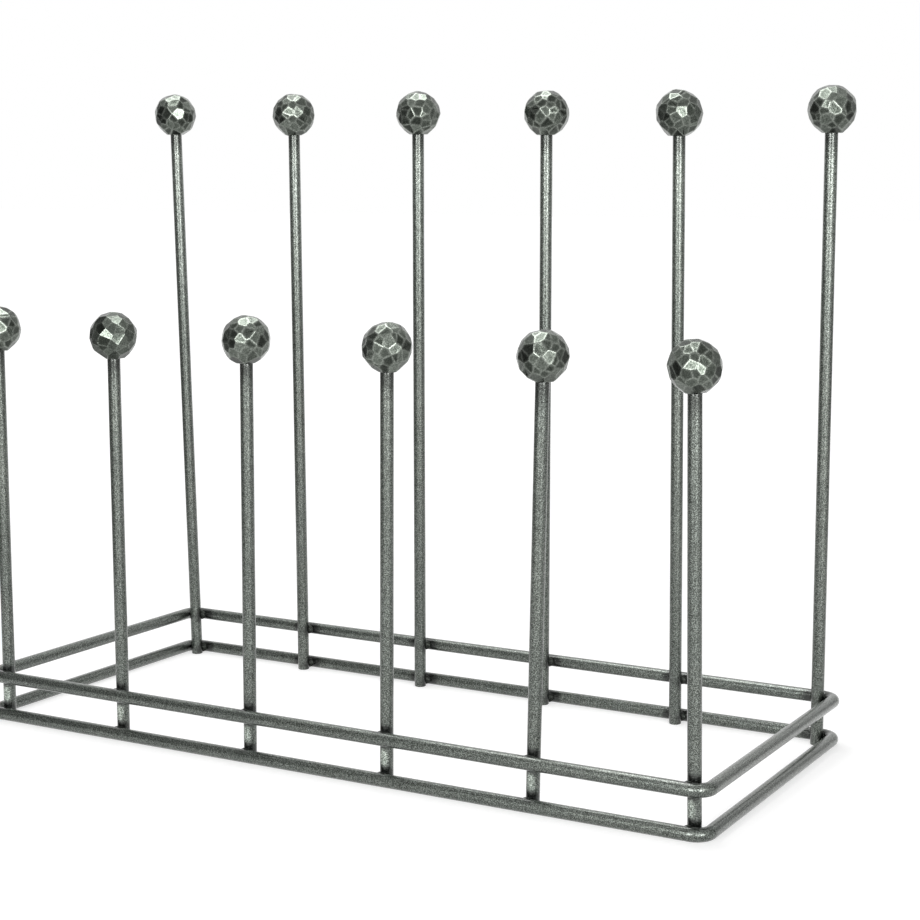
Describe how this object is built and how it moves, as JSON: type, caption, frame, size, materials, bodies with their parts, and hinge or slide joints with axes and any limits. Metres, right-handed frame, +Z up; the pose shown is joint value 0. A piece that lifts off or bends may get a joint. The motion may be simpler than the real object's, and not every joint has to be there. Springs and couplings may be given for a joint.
{
  "type": "boot rack",
  "caption": "Welded round-bar boot rack: two bent base loops hold a short front row and a tall rear row of uprights, each ending in a hammered ball.",
  "frame": {"origin": "on the floor, under the middle of the rack's overall length and depth", "axes": "+X along the rack, -Y towards the front with its shorter row, +Z up"},
  "size_m": [0.6466, 0.2848, 0.5071],
  "materials": {
    "pewter_bar": "dark pewter patina over hot-rolled round bar, finely speckled",
    "pewter_ball": "dark pewter patina on hammered facets, with bright worn ridges",
    "weld_bead": "dark patinated weld bead"
  },
  "bodies": {
    "root": {"lower_loop": "pewter_bar", "upper_loop": "pewter_bar", "upright_front_1": "pewter_bar", "ball_front_1": "pewter_ball", "weld_lower_front_1": "weld_bead", "weld_upper_front_1": "weld_bead", "upright_front_2": "pewter_bar", "ball_front_2": "pewter_ball", "weld_lower_front_2": "weld_bead", "weld_upper_front_2": "weld_bead", "upright_front_3": "pewter_bar", "ball_front_3": "pewter_ball", "weld_lower_front_3": "weld_bead", "weld_upper_front_3": "weld_bead", "upright_front_4": "pewter_bar", "ball_front_4": "pewter_ball", "weld_lower_front_4": "weld_bead", "weld_upper_front_4": "weld_bead", "upright_front_5": "pewter_bar", "ball_front_5": "pewter_ball", "weld_lower_front_5": "weld_bead", "weld_upper_front_5": "weld_bead", "upright_front_6": "pewter_bar", "ball_front_6": "pewter_ball", "weld_lower_front_6": "weld_bead", "weld_upper_front_6": "weld_bead", "upright_rear_1": "pewter_bar", "ball_rear_1": "pewter_ball", "weld_lower_rear_1": "weld_bead", "weld_upper_rear_1": "weld_bead", "upright_rear_2": "pewter_bar", "ball_rear_2": "pewter_ball", "weld_lower_rear_2": "weld_bead", "weld_upper_rear_2": "weld_bead", "upright_rear_3": "pewter_bar", "ball_rear_3": "pewter_ball", "weld_lower_rear_3": "weld_bead", "weld_upper_rear_3": "weld_bead", "upright_rear_4": "pewter_bar", "ball_rear_4": "pewter_ball", "weld_lower_rear_4": "weld_bead", "weld_upper_rear_4": "weld_bead", "upright_rear_5": "pewter_bar", "ball_rear_5": "pewter_ball", "weld_lower_rear_5": "weld_bead", "weld_upper_rear_5": "weld_bead", "upright_rear_6": "pewter_bar", "ball_rear_6": "pewter_ball", "weld_lower_rear_6": "weld_bead", "weld_upper_rear_6": "weld_bead"}
  },
  "joints": []
}
